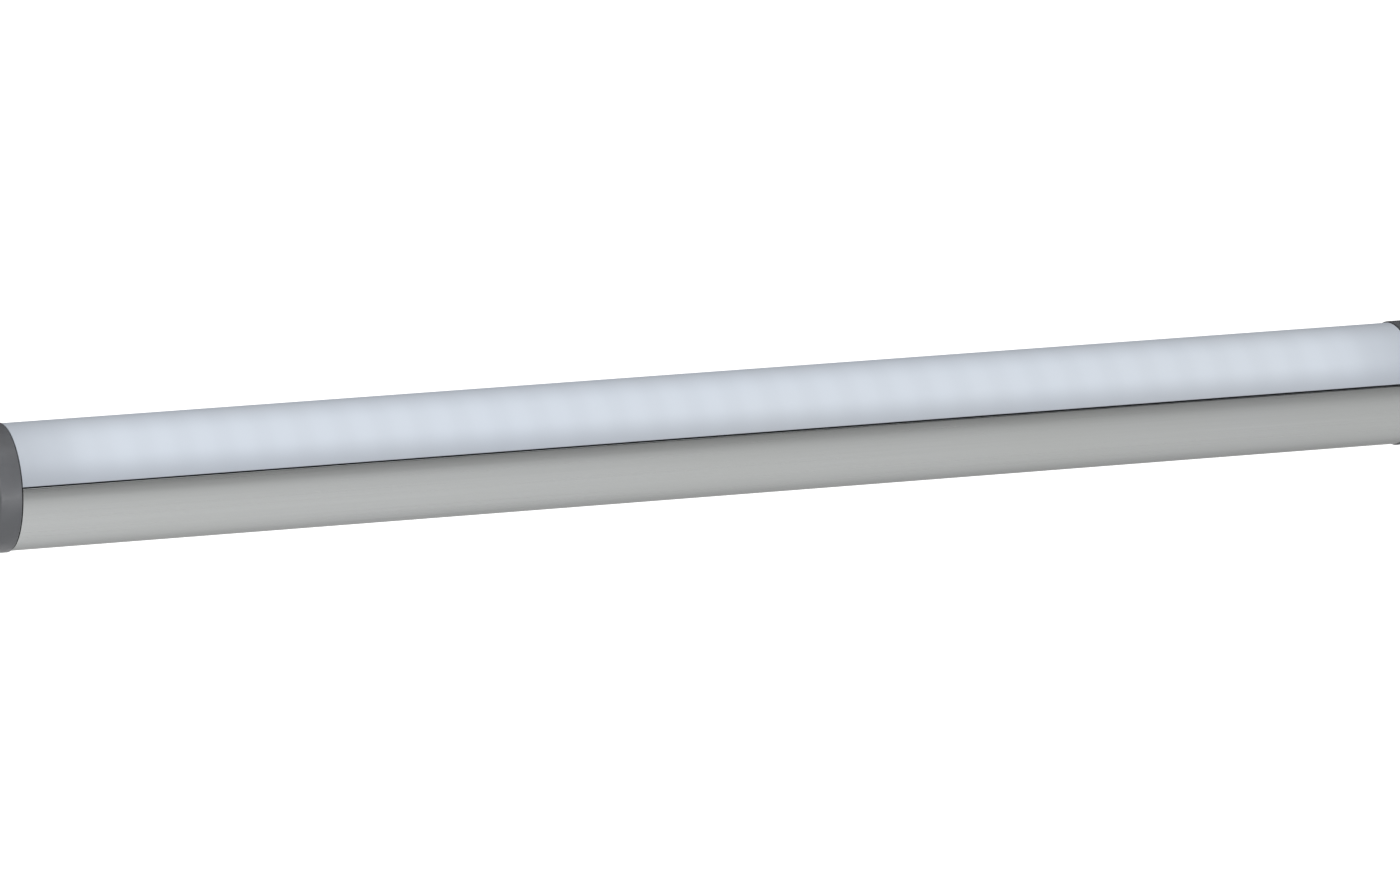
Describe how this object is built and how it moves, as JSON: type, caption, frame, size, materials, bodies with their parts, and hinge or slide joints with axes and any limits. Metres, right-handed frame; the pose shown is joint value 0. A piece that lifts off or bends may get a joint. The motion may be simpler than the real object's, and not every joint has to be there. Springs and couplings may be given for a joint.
{
  "type": "monitor light bar",
  "caption": "Round light bar with a half-round aluminium housing, a frosted half-round diffuser, dark end caps, a press-and-turn dimmer knob, a power socket and a mounting T-slot underneath.",
  "frame": {"origin": "centre of the tube, midway between the faces of the two end caps' centre plates", "axes": "+X along the bar from the dimmer knob to the power inlet, +Z towards the lit side, so the mounting slot faces -Z"},
  "size_m": [0.472, 0.0388, 0.0388],
  "materials": {
    "satin_aluminium": "clear satin anodised extrusion, fine lengthwise die lines",
    "frosted_diffuser": "frosted translucent polycarbonate, cool bluish white, softly matt",
    "cap_plastic": "dark grey moulded plastic, fine satin texture",
    "knob_plastic": "dark grey moulded plastic, matt",
    "knob_face": "dark soft-touch disc",
    "carrier_plastic": "natural grey low-friction moulding",
    "gasket_rubber": "black silicone rubber",
    "thermal_tape": "pale grey thermally conductive tape",
    "white_circuit_board": "white solder mask on an aluminium board",
    "dark_circuit_board": "green solder mask on glass-epoxy board",
    "led_body": "white moulded LED packages",
    "led_phosphor": "yellow phosphor windows",
    "black_component": "black moulded component bodies",
    "white_connector": "off-white nylon connector housings",
    "inductor_body": "dark ferrite shielded inductor",
    "capacitor_can": "bare aluminium cans",
    "tray_plastic": "natural translucent plastic",
    "screw_steel": "zinc-plated steel",
    "socket_steel": "deep-drawn stainless shell",
    "tongue_plastic": "black glass-filled plastic",
    "contact_gold": "gold-plated contacts",
    "magnet": "nickel-plated ring magnet",
    "nut_steel": "zinc-plated steel",
    "spring_steel": "bright spring strip",
    "red_insulation": "red silicone insulation",
    "black_insulation": "black silicone insulation",
    "grey_insulation": "grey ribbon insulation"
  },
  "bodies": {
    "bar": {"housing_extrusion": "satin_aluminium", "diffuser": "frosted_diffuser", "thermal_tape_left": "thermal_tape", "thermal_tape_right": "thermal_tape", "led_board_left": "white_circuit_board", "led_board_right": "white_circuit_board", "leds_left": "led_body", "leds_right": "led_body", "led_phosphor_left": "led_phosphor", "led_phosphor_right": "led_phosphor", "led_resistors": "black_component", "board_link": "white_connector", "left_end_cap": "cap_plastic", "right_end_cap": "cap_plastic", "left_gasket": "gasket_rubber", "right_gasket": "gasket_rubber", "left_cap_screws": "screw_steel", "right_cap_screws": "screw_steel", "control_board": "dark_circuit_board", "control_board_screws": "screw_steel", "rotation_sensor": "black_component", "push_switch": "black_component", "retaining_washer": "screw_steel", "retaining_screw": "screw_steel", "inlet_plate": "knob_plastic", "inlet_board": "dark_circuit_board", "socket_shell": "socket_steel", "socket_tongue": "tongue_plastic", "socket_contacts": "contact_gold", "inlet_board_parts": "black_component", "inlet_board_screws": "screw_steel", "driver_tray": "tray_plastic", "driver_board": "dark_circuit_board", "driver_inductor": "inductor_body", "driver_capacitors": "capacitor_can", "driver_chips": "black_component", "driver_connectors": "white_connector", "led_lead_red": "red_insulation", "led_lead_black": "black_insulation", "supply_lead_red": "red_insulation", "supply_lead_black": "black_insulation", "control_ribbon": "grey_insulation", "lead_clips": "tray_plastic"},
    "knob_press": {"knob_carrier": "carrier_plastic", "switch_plunger": "tongue_plastic"},
    "knob": {"dimmer_knob": "knob_plastic", "knob_inlay": "knob_face", "encoder_magnet": "magnet"},
    "nut_left": {"slot_nut_left": "nut_steel", "slot_nut_spring_left": "spring_steel"},
    "nut_right": {"slot_nut_right": "nut_steel", "slot_nut_spring_right": "spring_steel"}
  },
  "joints": [
    {"name": "knob_push", "type": "slide", "parent": "bar", "child": "knob_press", "axis": [1, 0, 0], "range_m": [0, 0.0004], "stiffness_N_per_m": 4000, "springref_m": -0.0003},
    {"name": "knob_turn", "type": "hinge", "parent": "knob_press", "child": "knob", "pos_m": [-0.2335, 0, 0], "axis": [1, 0, 0], "continuous": true},
    {"name": "nut_left_slide", "type": "slide", "parent": "bar", "child": "nut_left", "axis": [1, 0, 0], "range_m": [-0.06, 0.14]},
    {"name": "nut_right_slide", "type": "slide", "parent": "bar", "child": "nut_right", "axis": [1, 0, 0], "range_m": [-0.14, 0.06]}
  ]
}
